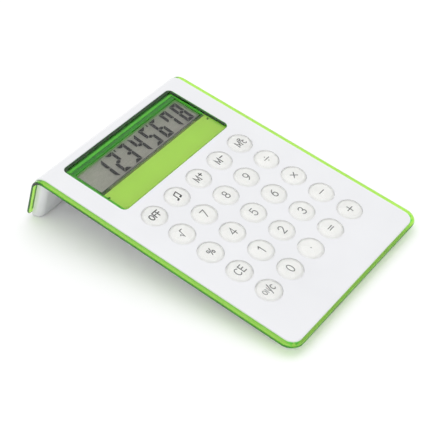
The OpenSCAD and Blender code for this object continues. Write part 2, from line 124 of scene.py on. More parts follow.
CORNER_STEPS = 8
CIRCLE_STEPS = 48


def heading(angle):
    return math.cos(math.radians(angle)), math.sin(math.radians(angle))


def rounded_rect(x0, x1, y0, y1, r, rear_r=None, rear_growth=None, steps=CORNER_STEPS):
    """An outline: each point has its place, the way it moves as the outline grows, and its normal."""
    rear_r = r if rear_r is None else rear_r
    corners = (
        (x1 - r, y0 + r, r, -90), (x1 - rear_r, y1 - rear_r, rear_r, 0),
        (x0 + rear_r, y1 - rear_r, rear_r, 90), (x0 + r, y0 + r, r, 180),
    )
    points = []
    for x, y, radius, start in corners:
        at_rear = start in (0, 90)
        for i in range(steps + 1):
            way = heading(start + 90 * i / steps)
            growth = way
            if at_rear and rear_growth is not None:
                growth = (math.copysign(1, x), rear_growth)
            points.append(((x + radius * way[0], y + radius * way[1]), growth, way))
    return points


def circle(x, y, r, steps=CIRCLE_STEPS):
    ways = [heading(360 * i / steps) for i in range(steps)]
    return [((x + r * c, y + r * s), (c, s), (c, s)) for c, s in ways]


def hole(outline):
    """The same outline as the edge of a hole: its material lies outside."""
    return [(place, (-growth[0], -growth[1]), (-way[0], -way[1]))
            for place, growth, way in outline]


def path(*points, steps=4):
    """A profile through points (out, height, rounding), without its two ends.

    Walking along it, the outside is on the left. Each result has its place and its normal.
    """
    result = []
    for before, corner, after in zip(points, points[1:], points[2:]):
        here = Vector(corner[:2])
        way_in = (here - Vector(before[:2])).normalized()
        way_out = (Vector(after[:2]) - here).normalized()
        turn = way_in.angle_signed(way_out)        # positive is to the right
        reach = corner[2] * math.tan(abs(turn) / 2)
        side = Vector((way_in.y, -way_in.x)) * math.copysign(1, turn)
        centre = here - way_in * reach + side * corner[2]
        for i in range(steps + 1):
            way = way_in.copy()
            way.rotate(Matrix.Rotation(-turn * i / steps, 2))
            normal = Vector((-way.y, way.x))
            place = centre + normal * math.copysign(corner[2], turn)
            result.append((place.x, place.y, normal.x, normal.y))
    return result


class Shell:
    """A closed mesh drawn in (u, s, h), with a normal kept at each vertex."""

    def __init__(self):
        self.mesh = bmesh.new()
        self.normal = self.mesh.verts.layers.float_vector.new("normal")

    def ring(self, outline, out, height, normal_out, normal_up):
        ring = []
        for place, growth, way in outline:
            spot = (place[0] + out * growth[0], place[1] + out * growth[1], height)
            vertex = self.mesh.verts.new(spot)
            vertex[self.normal] = (way[0] * normal_out, way[1] * normal_out, normal_up)
            ring.append(vertex)
        return ring

    def join(self, one, other):
        for i, vertex in enumerate(one):
            after = (i + 1) % len(one)
            self.mesh.faces.new((vertex, one[after], other[after], other[i]))

    def wall(self, outline, profile):
        """Sweeps a profile round an outline. Gives its first and last ring."""
        rings = [self.ring(outline, *step) for step in profile]
        for one, other in zip(rings, rings[1:]):
            self.join(one, other)
        return rings[0], rings[-1]

    def fill(self, *rings):
        """Fills the flat space inside the first ring and outside the others."""
        if len(rings) == 1:
            self.mesh.faces.new(rings[0])
            return
        pairs = [(ring[i - 1], ring[i]) for ring in rings for i in range(len(ring))]
        edges = [self.mesh.edges.get(pair) for pair in pairs]
        bmesh.ops.triangle_fill(self.mesh, edges=edges, use_beauty=True, normal=(0, 0, 1))

    def solid(self, outline, profile):
        """A closed island: a swept profile with both ends filled."""
        for ring in self.wall(outline, profile):
            self.fill(ring)

    def cut_bend(self):
        for i in range(BEND_STEPS + 1):
            place = (0, BEND_START + (LEG_START - BEND_START) * i / BEND_STEPS, 0)
            everything = self.mesh.verts[:] + self.mesh.edges[:] + self.mesh.faces[:]
            bmesh.ops.bisect_plane(self.mesh, geom=everything, dist=1e-5,
                                   plane_co=place, plane_no=(0, 1, 0))

    def piece(self, name, material, body, placing=unrolled, smooth=True):
        """Turns the mesh into an object that rides on a body."""
        bmesh.ops.recalc_face_normals(self.mesh, faces=self.mesh.faces[:])
        normals = []
        for vertex in self.mesh.verts:
            spot, along, out = placing(*vertex.co)
            kept = vertex[self.normal]
            vertex.co = spot
            normals.append((ACROSS * kept[0] + along * kept[1] + out * kept[2]).normalized())
        data = bpy.data.meshes.new(name)
        self.mesh.to_mesh(data)
        self.mesh.free()
        if smooth:
            data.shade_smooth()
            data.normals_split_custom_set_from_vertices(normals)
        data.materials.append(material)
        piece = bpy.data.objects.new(name, data)
        bpy.context.scene.collection.objects.link(piece)
        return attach(piece, body)


# ---------------------------------------------------------------- materials

class Material:
    """A Principled material with procedural detail in its colour, roughness and relief."""

    def __init__(self, name, **sockets):
        self.data = bpy.data.materials.new(name)
        self.data.use_nodes = True
        self.tree = self.data.node_tree
        self.shader = next(n for n in self.tree.nodes if n.type == "BSDF_PRINCIPLED")
        self.output = next(n for n in self.tree.nodes if n.type == "OUTPUT_MATERIAL")
        coordinates = self.node("TexCoord")
        self.place = coordinates.outputs["Object"]
        self.facing = coordinates.outputs["Normal"]
        for socket, value in sockets.items():
            self.shader.inputs[socket.replace("_", " ")].default_value = value

    def node(self, kind, **settings):
        """A new node, with settings for its inputs."""
        node = self.tree.nodes.new("ShaderNode" + kind)
        for socket, value in settings.items():
            node.inputs[socket.replace("_", " ")].default_value = value
        return node

    def link(self, source, socket):
        self.tree.links.new(source, socket)

    def noise(self, scale, detail=2.0, stretch=None):
        place = self.place
        if stretch is not None:
            mapping = self.node("Mapping", Scale=stretch)
            self.link(place, mapping.inputs["Vector"])
            place = mapping.outputs["Vector"]
        node = self.node("TexNoise", Scale=scale, Detail=detail)
        self.link(place, node.inputs["Vector"])
        return node.outputs["Fac"]

    def ramp(self, factor, *stops):
        """Blends between (position, colour) stops."""
        node = self.node("ValToRGB")
        elements = node.color_ramp.elements
        while len(elements) < len(stops):
            elements.new(0.5)
        for element, (position, colour) in zip(elements, stops):
            element.position = position
            element.color = (*colour, 1)
        self.link(factor, node.inputs["Fac"])
        return node.outputs["Color"]

    def spread(self, factor, low, high):
        """Maps the middle of a noise to a range of numbers."""
        node = self.node("MapRange", From_Min=0.3, From_Max=0.7, To_Min=low, To_Max=high)
        self.link(factor, node.inputs["Value"])
        return node.outputs["Result"]

    def math(self, operation, *values):
        node = self.node("Math")
        node.operation = operation
        for socket, value in zip(node.inputs, values):
            if isinstance(value, (int, float)):
                socket.default_value = value
            else:
                self.link(value, socket)
        return node.outputs[0]

    def beyond(self, length, edge):
        """Rises from 0 to 1 as a length in metres passes an edge in millimetres."""
        node = self.node("MapRange", From_Min=(edge - 0.1) * MM, From_Max=(edge + 0.1) * MM)
        self.link(length, node.inputs["Value"])
        return node.outputs["Result"]

    def short_of(self, length, edge):
        """The opposite of beyond."""
        return self.math("SUBTRACT", 1.0, self.beyond(length, edge))

    def either(self, one, other):
        return self.math("MAXIMUM", one, other)

    def both(self, one, other):
        return self.math("MULTIPLY", one, other)

    def along_axes(self, vector):
        """The three components of a vector."""
        parts = self.node("SeparateXYZ")
        self.link(vector, parts.inputs["Vector"])
        return parts.outputs["X"], parts.outputs["Y"], parts.outputs["Z"]

    def mix(self, one, other, share):
        """Blends two colours."""
        node = self.node("Mix")
        node.data_type = "RGBA"
        colours = [socket for socket in node.inputs if socket.type == "RGBA"]
        for socket, source in ((node.inputs[0], share), (colours[0], one), (colours[1], other)):
            self.link(source, socket)
        return next(socket for socket in node.outputs if socket.type == "RGBA")

    def colour(self, source):
        self.link(source, self.shader.inputs["Base Color"])
        return self

    def tones(self, scale, dark, light, **options):
        """A soft mottle between two close tones."""
        return self.colour(self.ramp(self.noise(scale, **options), (0.3, dark), (0.7, light)))

    def wear(self, scale, low, high, **options):
        """Uneven gloss."""
        source = self.spread(self.noise(scale, **options), low, high)
        self.link(source, self.shader.inputs["Roughness"])
        return self

    def relief(self, source, depth, strength=0.3):
        """Raises the surface by a height in metres."""
        node = self.node("Bump", Strength=strength, Distance=depth)
        self.link(source, node.inputs["Height"])
        self.link(node.outputs["Normal"], self.shader.inputs["Normal"])
        return self

    def absorb(self, colour, density):
        """Colour that deepens with the distance that light travels inside."""
        node = self.node("VolumeAbsorption", Color=(*colour, 1), Density=density)
        self.link(node.outputs["Volume"], self.output.inputs["Volume"])
        return self


def gloss_white(name="white_gloss_plastic", dark=(0.70, 0.705, 0.725), light=(0.725, 0.73, 0.75)):
    m = Material(name, Coat_Weight=0.25, Coat_Roughness=0.03)
    m.tones(45, dark, light).wear(120, 0.16, 0.24)
    return m.relief(m.noise(260, detail=1.0), 0.00002, 0.12)


def slab_place(m):
    """Distance from the middle line, and distance along the slab, at the point being shaded."""
    turned = m.node("Mapping", Location=(0, -ORIGIN.dot(ALONG), -ORIGIN.dot(OUT)),
                    Rotation=(-math.atan2(ALONG.z, ALONG.y), 0, 0))
    m.link(m.place, turned.inputs["Vector"])
    across, run, _ = m.along_axes(turned.outputs["Vector"])
    return m.math("ABSOLUTE", across), run


def rim_zone(m, side, run):
    """1 on the rim that stands out round the cover, and on the leg, where light is painted into the
    green.
    """
    corner = m.both(m.beyond(side, COVER_HIGH.x - CORNER_CUT),
                    m.short_of(run, COVER_LOW.y + CORNER_CUT))
    side_or_leg = m.either(m.beyond(side, COVER_HIGH.x), m.beyond(run, LEG_V))
    return m.either(m.either(side_or_leg, m.short_of(run, COVER_LOW.y)), corner)


def upright_zone(m, rim, run):
    """1 on the rim's upright faces, at both sides and at the front, which get painted shade."""
    across, forward, _ = m.along_axes(m.facing)
    sideways = m.both(m.math("GREATER_THAN", m.math("ABSOLUTE", across), 0.75), rim)
    forwards = m.both(m.math("LESS_THAN", forward, -0.85), m.math("LESS_THAN", run, 0.0))
    return m.either(sideways, forwards)


def green_plastic():
    """Clear green with painted light and shade: pale (painted light) over the white panel, deep
    (painted shade) round it, bright (painted light) along the rim, and dark (painted shade) on the
    rim's upright faces.
    """
    m = Material("green_clear_plastic", Transmission_Weight=1.0, IOR=1.49,
                 Specular_IOR_Level=0.3)
    side, run = slab_place(m)
    off_panel = m.either(m.beyond(side, PANEL_SIDE), m.beyond(run, PANEL_REAR))
    rim = rim_zone(m, side, run)
    # Painted light: the plate is paler where the white panel lies behind it.
    painted_panel_light = m.ramp(m.noise(60), (0.3, (0.97, 0.995, 0.88)), (0.7, (0.99, 1.0, 0.92)))
    # Painted shade: deeper green off the panel, where the dark inside shows through.
    painted_off_panel_shade = m.ramp(m.noise(90), (0.3, (0.17, 0.87, 0.12)), (0.7, (0.24, 0.91, 0.15)))
    # Painted light: the rim is a brighter lime, as if lit through from the table below.
    painted_rim_light = m.ramp(m.noise(200), (0.3, (0.66, 0.95, 0.42)), (0.7, (0.72, 0.97, 0.50)))
    # Painted shade: the rim's upright faces are dark green, as if light were lost inside the edge.
    dark = m.ramp(m.noise(40), (0.35, (0.05, 0.30, 0.08)), (0.65, (0.12, 0.60, 0.16)))
    # Painted light and shade, mixed by zone: over the panel, round it, and on the rim.
    painted_light_and_shade = m.mix(m.mix(painted_panel_light, painted_off_panel_shade, off_panel), painted_rim_light, rim)
    m.colour(m.mix(painted_light_and_shade, dark, upright_zone(m, rim, run))).wear(150, 0.015, 0.05)
    m.absorb((0.76, 0.93, 0.10), 1200)
    return m.relief(m.noise(220, detail=1.0), 0.00001, 0.08)


def clear_plastic():
    m = Material("clear_cap_plastic", Transmission_Weight=1.0, IOR=1.49)
    m.tones(500, (0.985, 0.99, 0.985), (1.0, 1.0, 0.995)).wear(900, 0.02, 0.05)
    return m.relief(m.noise(1400, detail=1.0), 0.00001, 0.08)


def cap_white():
    m = Material("key_core_plastic")
    m.tones(600, (0.91, 0.91, 0.895), (0.94, 0.94, 0.925)).wear(900, 0.35, 0.5)
    return m.relief(m.noise(2500), 0.00001, 0.2)


def ink(name, dark, light):
    m = Material(name, Specular_IOR_Level=0.3)
    m.tones(3000, dark, light).wear(2000, 0.5, 0.7)
    return m.relief(m.noise(5000), 0.000005, 0.3)


def clear_glass():
    m = Material("display_glass", Transmission_Weight=1.0, IOR=1.52, Specular_IOR_Level=0.2)
    m.tones(80, (0.96, 0.98, 0.97), (1.0, 1.0, 1.0)).wear(200, 0.0, 0.02)
    return m.relief(m.noise(100, detail=1.0), 0.000005, 0.05)


def polarising_film():
    m = Material("polarising_film", Alpha=0.03, Specular_IOR_Level=0.1)
    m.tones(300, (0.13, 0.135, 0.12), (0.18, 0.185, 0.165)).wear(500, 0.08, 0.16)
    return m.relief(m.noise(1500), 0.000005, 0.1)


def reflector_film():
    m = Material("reflector_film", Specular_IOR_Level=0.4)
    grain = m.noise(900, detail=4.0, stretch=(0.35, 1.0, 1.0))
    m.colour(m.ramp(grain, (0.3, (0.42, 0.42, 0.36)), (0.7, (0.50, 0.495, 0.43))))
    return m.wear(700, 0.4, 0.55).relief(m.noise(4000), 0.000008, 0.3)


def rubber():
    m = Material("black_rubber", Specular_IOR_Level=0.35)
    m.tones(300, (0.018, 0.018, 0.02), (0.035, 0.035, 0.038)).wear(400, 0.6, 0.8)
    return m.relief(m.noise(1800, detail=4.0), 0.00003, 0.4)


def silicone():
    m = Material("grey_silicone", Subsurface_Weight=0.2, Subsurface_Scale=0.001)
    m.tones(120, (0.66, 0.66, 0.64), (0.74, 0.74, 0.71)).wear(300, 0.45, 0.6)
    return m.relief(m.noise(900, detail=3.0), 0.00002, 0.3)


def fibreglass_board():
    m = Material("circuit_board", Coat_Weight=0.4, Coat_Roughness=0.15)
    bricks = m.node("TexBrick", Scale=260, Mortar_Size=0.16, Brick_Width=1.4, Row_Height=0.45,
                    Color1=(0.02, 0.17, 0.06, 1), Color2=(0.03, 0.21, 0.08, 1),
                    Mortar=(0.012, 0.10, 0.035, 1))
    m.link(m.place, bricks.inputs["Vector"])
    m.colour(bricks.outputs["Color"]).wear(500, 0.3, 0.45)
    return m.relief(bricks.outputs["Fac"], 0.00002, 0.3)


def resin():
    m = Material("black_resin", Specular_IOR_Level=0.6)
    m.tones(700, (0.012, 0.012, 0.014), (0.03, 0.03, 0.033)).wear(500, 0.15, 0.35)
    return m.relief(m.noise(700, detail=3.0), 0.00003, 0.3)


def striped_rubber():
    """Rubber with a fine row of black conducting lines."""
    m = Material("striped_rubber")
    stripes = m.node("TexWave", Scale=500)
    m.link(m.place, stripes.inputs["Vector"])
    m.colour(m.ramp(stripes.outputs["Fac"], (0.45, (0.03, 0.03, 0.03)), (0.55, (0.5, 0.35, 0.4))))
    return m.wear(400, 0.5, 0.7)


def ceramic():
    m = Material("ceramic")
    m.tones(800, (0.62, 0.55, 0.42), (0.70, 0.63, 0.50)).wear(900, 0.35, 0.55)
    return m.relief(m.noise(3000, detail=4.0), 0.00001, 0.3)


def wire_cover():
    m = Material("wire_cover")
    m.tones(900, (0.50, 0.02, 0.015), (0.60, 0.035, 0.025)).wear(900, 0.3, 0.45)
    return m.relief(m.noise(2500), 0.00001, 0.2)


def metal(name, dark, light):
    """Rolled sheet: fine scratches along one way."""
    m = Material(name, Metallic=1.0)
    scratches = m.noise(900, detail=3.0, stretch=(0.08, 1.0, 1.0))
    m.colour(m.ramp(scratches, (0.3, dark), (0.7, light)))
    return m.wear(400, 0.2, 0.4).relief(scratches, 0.00001, 0.3)


# ---------------------------------------------------------------- the three bent covers

TRIM_LOW, TRIM_HIGH = slab_box("trim_plate")
COVER_LOW, COVER_HIGH = slab_box("top_cover")
BASE_LOW, BASE_HIGH = slab_box("base_cover")
TRIM_LEG = 18.9                     # length of the trim plate down the leg
COVER_LEG = 17.4
CAVITY_LEG = 17.5
COVER_TOP = -0.005
RIM_TOP = -0.5
PLATE_TOP = -1.0
PLATE_BOTTOM = -1.8
SEATING = 0.02                      # how far a white face presses into the clear plastic
FLOOR_TOP = -5.4
BASE_BOTTOM = -6.6
CORNER_R = {"trim": 6.5, "cover": 5.0, "base": 3.7}
LEG_CORNER_R = 1.4
TRIM_LEG_CORNER_R = LEG_CORNER_R + 0.6
BASE_WALL = 1.2
FIT_GAP = 0.05
NICK = 0.1                          # rounding of an edge that would otherwise be sharp
COVER_ROUNDING = 0.6
WINDOW_ROUNDING = 0.3
KEY_HOLE_ROUNDING = 0.2
RIM_ROUNDING = 0.8

WINDOW = (-37.2, 37.2, 40.9, 76.8, 2.5)
DISPLAY_OPENING = (-35.0, 35.0, 55.2, 70.9, 0.8)
LIP_TOP = -0.15
LIP_SIDE = 1.1                      # width of the raised border at each side of the window
LIP_FRONT = 0.35
LIP_REAR = 1.5
LIP_CORNER_R = 1.2
LIP_DRAFT = 0.3                     # how far the lip's inner face leans in at its foot
LIP_NICK = 0.12
PANEL_SIDE = 35.9                   # the white panel behind the window ends here
PANEL_REAR = 55.0
LEG_V = 83.0                        # beyond this, only the leg and its rim
CORNER_CUT = 1.6                    # the painted rim light reaches this far in at the corners
KEY_HOLE_R = 5.85
FLANGE_HOLE_R = 6.6

SCREW_PLACES = [(u, v) for u in (-40.5, 40.5) for v in (-47, 8, 60)]
POST_R = 2.2
POST_START = -0.8
POST_END = -4.0
POST_ROUNDING = 0.2
POST_GAP = 0.2                      # round each post, where it goes through the trim plate
PILOT_END = -1.5                    # top of the screw's pilot hole in the post
BOSS_R = 3.2
SCREW_R = 1.0
SCREW_RECESS_R = 2.0
SCREW_RECESS_TOP = -5.2

KEYS = [n for n in frame["nodes"] if n.startswith("key_")]


def middle(node):
    low, high = slab_box(node)
    return (low.x + high.x) / 2, (low.y + high.y) / 2


def top_cover(material):
    shell = Shell()
    outer = rounded_rect(COVER_LOW.x, COVER_HIGH.x, COVER_LOW.y, LEG_START + COVER_LEG,
                         CORNER_R["cover"], LEG_CORNER_R)
    foot = PLATE_TOP - SEATING
    outlines = [(outer, COVER_ROUNDING), (hole(rounded_rect(*WINDOW)), WINDOW_ROUNDING)]
    outlines += [(hole(circle(*middle(key), KEY_HOLE_R)), KEY_HOLE_ROUNDING) for key in KEYS]
    rings = []
    for outline, rounding in outlines:
        edge = path((-1, COVER_TOP), (0, COVER_TOP, rounding), (0, foot, NICK), (-1, foot))
        rings.append(shell.wall(outline, edge))
    shell.fill(*[top for top, _ in rings])
    shell.fill(*[bottom for _, bottom in rings])
    shell.cut_bend()
    post = path((0, POST_START), (POST_R, POST_START, NICK), (POST_R, POST_END, POST_ROUNDING),
                (SCREW_R, POST_END, POST_ROUNDING), (SCREW_R, PILOT_END, NICK), (0, PILOT_END))
    for place in SCREW_PLACES:
        shell.solid(circle(*place, 0, 24), post)
    piece = shell.piece("top_cover_shell", material, "case")
    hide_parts("top_cover")


def window_lip(shell):
    """The raised border of clear plastic that fills the edge of the window. Gives its feet."""
    u0, u1, v0, v1, r = WINDOW
    outline = rounded_rect(u0 + FIT_GAP, u1 - FIT_GAP, v0 + FIT_GAP, v1 - FIT_GAP, r - FIT_GAP)
    inner = hole(rounded_rect(u0 + LIP_SIDE, u1 - LIP_SIDE, v0 + LIP_FRONT, v1 - LIP_REAR,
                              LIP_CORNER_R))
    lip_top, foot = shell.wall(outline, path(
        (-1, LIP_TOP), (0, LIP_TOP, LIP_NICK), (0, PLATE_TOP, 0.05), (1, PLATE_TOP)))
    inner_top, inner_foot = shell.wall(inner, path(
        (-1, LIP_TOP), (0, LIP_TOP, LIP_NICK), (LIP_DRAFT, PLATE_TOP, NICK),
        (LIP_DRAFT + 1, PLATE_TOP)))
    shell.join(lip_top, inner_top)
    return foot, inner_foot


def trim_plate(material):
    shell = Shell()
    outer = rounded_rect(TRIM_LOW.x, TRIM_HIGH.x, TRIM_LOW.y, LEG_START + TRIM_LEG,
                         CORNER_R["trim"], TRIM_LEG_CORNER_R)
    recess = hole(rounded_rect(COVER_LOW.x - FIT_GAP, COVER_HIGH.x + FIT_GAP,
                               COVER_LOW.y - FIT_GAP, LEG_START + COVER_LEG + FIT_GAP,
                               CORNER_R["cover"], LEG_CORNER_R))
    foot = PLATE_BOTTOM - SEATING
    side = path((-1, RIM_TOP), (0, RIM_TOP, RIM_ROUNDING), (0, foot, 0.2), (-1, foot))
    step = path((-1, RIM_TOP), (0, RIM_TOP, NICK), (0, PLATE_TOP, 0.06), (1, PLATE_TOP))
    rim_top, bottom = shell.wall(outer, side)
    rim_inside, floor = shell.wall(recess, step)
    shell.join(rim_top, rim_inside)
    openings = [hole(rounded_rect(*DISPLAY_OPENING))]
    openings += [hole(circle(*middle(key), FLANGE_HOLE_R)) for key in KEYS]
    openings += [hole(circle(*place, POST_R + POST_GAP, 24)) for place in SCREW_PLACES]
    lip = path((-1, PLATE_TOP), (0, PLATE_TOP, 0.08), (0, foot, 0.08), (-1, foot))
    rings = [shell.wall(outline, lip) for outline in openings]
    lip_foot, lip_inner_foot = window_lip(shell)
    display_top = rings[0][0]
    shell.fill(floor, lip_foot, *[top for top, _ in rings[1:]])
    shell.fill(lip_inner_foot, display_top)
    shell.fill(bottom, *[low for _, low in rings])
    shell.cut_bend()
    piece = shell.piece("green_trim_plate", material, "case")
    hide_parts("trim_plate")


DOOR_LOW, DOOR_HIGH = slab_box("battery_door")
DOOR_GAP = 0.15
DOOR_CORNER_R = 1.0
DOOR_CEILING = -5.5
LEDGE_TOP = -4.7
LEDGE_MARGIN = 1.4
CELL_HOLE_R = 6.1
CELL_RING_R = 7.1
CELL_RING_TOP = -2.9
FOOT_POCKET_R = 4.05
FOOT_POCKET_TOP = -6.2
FRONT_FOOT = (33.0, -44.0)
RIBS = [(u, -48, 34) for u in (-30, -10, 10, 30)] + [(u, 57, 73) for u in (-34, 0, 34)]
RIB_TOP = -5.0
RIB_HALF = 0.5
POCKET_ROUNDING = 0.15
BASE_ROUNDING = 3.0
INNER_ROUNDING = 1.8
BASE_LEG_CORNER_R = 0.6
LEG_TAPER = 0.12                    # the leg's end moves this far for each millimetre at its sides
LEDGE_CORNER_R = 1.0
ROOT = 0.2                          # how far a boss or a rib goes into the floor


def base_walls(shell):
    """The outer skin and the cavity. Gives the rings at the edges of the bottom and the floor."""
    outer = rounded_rect(BASE_LOW.x, BASE_HIGH.x, BASE_LOW.y, LEG_START + BASE_LEG,
                         CORNER_R["base"], BASE_LEG_CORNER_R, rear_growth=LEG_TAPER)
    inner_r = CORNER_R["base"] - BASE_WALL
    inner = hole(rounded_rect(BASE_LOW.x + BASE_WALL, BASE_HIGH.x - BASE_WALL,
                              BASE_LOW.y + BASE_WALL, LEG_START + CAVITY_LEG, inner_r))
    side = path((-1, PLATE_BOTTOM), (0, PLATE_BOTTOM, NICK), (0, BASE_BOTTOM, BASE_ROUNDING),
                (-4, BASE_BOTTOM), steps=10)
    inside = path((-1, PLATE_BOTTOM), (0, PLATE_BOTTOM, NICK), (0, FLOOR_TOP, INNER_ROUNDING),
                  (3, FLOOR_TOP), steps=10)
    top, bottom = shell.wall(outer, side)
    inner_top, floor = shell.wall(inner, inside)
    shell.join(top, inner_top)
    return bottom, floor


def battery_bay(shell, floor):
    """The ledge, the cell's ring and well, and the door's recess. Gives the recess's edge."""
    ledge = rounded_rect(DOOR_LOW.x - LEDGE_MARGIN, DOOR_HIGH.x + LEDGE_MARGIN,
                         DOOR_LOW.y - LEDGE_MARGIN, DOOR_HIGH.y + LEDGE_MARGIN, LEDGE_CORNER_R)
    ledge_top, ledge_foot = shell.wall(ledge, path(
        (-1, LEDGE_TOP), (0, LEDGE_TOP, NICK), (0, FLOOR_TOP, NICK), (1, FLOOR_TOP)))
    cell = middle("button_cell")
    ring_top, ring_foot = shell.wall(circle(*cell, CELL_RING_R), path(
        (-1, CELL_RING_TOP), (0, CELL_RING_TOP, NICK), (0, LEDGE_TOP, NICK), (1, LEDGE_TOP)))
    well_top, well_foot = shell.wall(hole(circle(*cell, CELL_HOLE_R)), path(
        (-1, CELL_RING_TOP), (0, CELL_RING_TOP, NICK), (0, DOOR_CEILING, NICK),
        (-1, DOOR_CEILING)))
    recess = hole(rounded_rect(DOOR_LOW.x - DOOR_GAP, DOOR_HIGH.x + DOOR_GAP,
                               DOOR_LOW.y - DOOR_GAP, DOOR_HIGH.y + DOOR_GAP,
                               DOOR_CORNER_R + DOOR_GAP))
    ceiling, door_edge = shell.wall(recess, path(
        (1, DOOR_CEILING), (0, DOOR_CEILING, NICK), (0, BASE_BOTTOM, NICK), (-1, BASE_BOTTOM)))
    shell.join(ring_top, well_top)
    shell.fill(floor, ledge_foot)
    shell.fill(ledge_top, ring_foot)
    shell.fill(ceiling, well_foot)
    return door_edge


def pocket_edges(shell):
    """The pockets for the screw heads and the front feet, drawn from below."""
    pockets = [(place, SCREW_RECESS_R, SCREW_RECESS_TOP) for place in SCREW_PLACES]
    pockets += [((side * FRONT_FOOT[0], FRONT_FOOT[1]), FOOT_POCKET_R, FOOT_POCKET_TOP)
                for side in (-1, 1)]
    edges = []
    for place, r, height in pockets:
        end, edge = shell.wall(hole(circle(*place, r)), path(
            (1, height), (0, height, NICK), (0, BASE_BOTTOM, POCKET_ROUNDING), (-1, BASE_BOTTOM)))
        shell.fill(end)
        edges.append(edge)
    return edges


def bosses_and_ribs(shell):
    root = FLOOR_TOP - ROOT
    boss = path((0, POST_END), (BOSS_R, POST_END, POST_ROUNDING), (BOSS_R, root, NICK),
                (0, root))
    for place in SCREW_PLACES:
        shell.solid(circle(*place, 0, 32), boss)
    rib = path((-0.4, RIB_TOP), (0, RIB_TOP, NICK), (0, root, NICK), (-0.4, root))
    for u, front, rear in RIBS:
        shell.solid(rounded_rect(u - RIB_HALF, u + RIB_HALF, front, rear, 0.3, steps=3), rib)


def base_cover(material):
    shell = Shell()
    bottom, floor = base_walls(shell)
    door_edge = battery_bay(shell, floor)
    shell.fill(bottom, door_edge, *pocket_edges(shell))
    shell.cut_bend()
    bosses_and_ribs(shell)
    piece = shell.piece("base_cover_shell", material, "case", down_to_table)
    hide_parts("base_cover")


GRIP_OFFSET = 6                     # of the middle groove from the door's middle
GRIP_PITCH = 1.2
GRIP_HALF_LENGTH = 3.5
GRIP_HALF_WIDTH = 0.3
GRIP_END_R = 0.29
GRIP_DEPTH = 0.3


def battery_door(material):
    shell = Shell()
    outline = rounded_rect(DOOR_LOW.x, DOOR_HIGH.x, DOOR_LOW.y, DOOR_HIGH.y, DOOR_CORNER_R)
    top, bottom = shell.wall(outline, path(
        (-1, DOOR_HIGH.z), (0, DOOR_HIGH.z, NICK), (0, BASE_BOTTOM, 0.2), (-1, BASE_BOTTOM)))
    shell.fill(top)
    u, v = middle("battery_door")
    edges = []
    groove_end = BASE_BOTTOM + GRIP_DEPTH
    for i in (-1, 0, 1):
        groove_u = u + GRIP_OFFSET + GRIP_PITCH * i
        groove = hole(rounded_rect(groove_u - GRIP_HALF_WIDTH, groove_u + GRIP_HALF_WIDTH,
                                   v - GRIP_HALF_LENGTH, v + GRIP_HALF_LENGTH, GRIP_END_R))
        end, edge = shell.wall(groove, path(
            (1, groove_end), (0, groove_end, 0.12), (0, BASE_BOTTOM, 0.08), (-1, BASE_BOTTOM)))
        shell.fill(end)
        edges.append(edge)
    shell.fill(bottom, *edges)
    piece = shell.piece("battery_door_lid", material, "battery_door")
    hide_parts("battery_door")


# ---------------------------------------------------------------- flat strokes

SHARPEST_MITRE = 0.4                # limits how far a sharp corner of a line sticks out


def oval(x, y, rx, ry, start=0, end=360, steps=20):
    """Points along part of an oval."""
    ways = [heading(start + (end - start) * i / steps) for i in range(steps + 1)]
    return [(x + rx * c, y + ry * s) for c, s in ways]


def line_sides(spots, closed, width):
    """The left and right edge of a line of even width, at each of its points."""
    sides = []
    for i, spot in enumerate(spots):
        before = spots[i - 1] if i else (spots[-2] if closed else None)
        after = spots[i + 1] if i + 1 < len(spots) else (spots[1] if closed else None)
        ways = [(b - a).normalized() for a, b in ((before, spot), (spot, after))
                if a is not None and b is not None]
        way = sum(ways, Vector((0, 0))).normalized()
        reach = width / 2 / max(way.dot(ways[0]), SHARPEST_MITRE)
        if not closed and len(ways) == 1:
            spot = spot + way * (width / 2 if i else -width / 2)
        left = Vector((-way.y, way.x)) * reach
        sides.append((spot + left, spot - left))
    return sides


def stroke(shell, points, width, bottom, top):
    """A flat line of even width with square ends, along open or closed points."""
    closed = math.dist(points[0], points[-1]) < 1e-6
    sides = line_sides([Vector(p) for p in points], closed, width)
    if closed:
        sides.pop()
    rows = []
    for left, right in sides:
        row = []
        for place, height, up in ((left, top, 1), (right, top, 1), (right, bottom, -1),
                                  (left, bottom, -1)):
            vertex = shell.mesh.verts.new((*place, height))
            vertex[shell.normal] = (0, 0, up)
            row.append(vertex)
        rows.append(row)
    if closed:
        rows.append(rows[0])
    for one, other in zip(rows, rows[1:]):
        shell.join(one, other)
    if not closed:
        shell.mesh.faces.new(rows[0])
        shell.mesh.faces.new(rows[-1])


def lower_part(x=0.3, y=0.31):
    return [oval(x, y, 0.26, 0.31), oval(0.60, 0.31, 0.56, 0.69, 100, 180)]


def half_turned(strokes):
    return [[(0.6 - x, 1 - y) for x, y in points] for points in strokes]


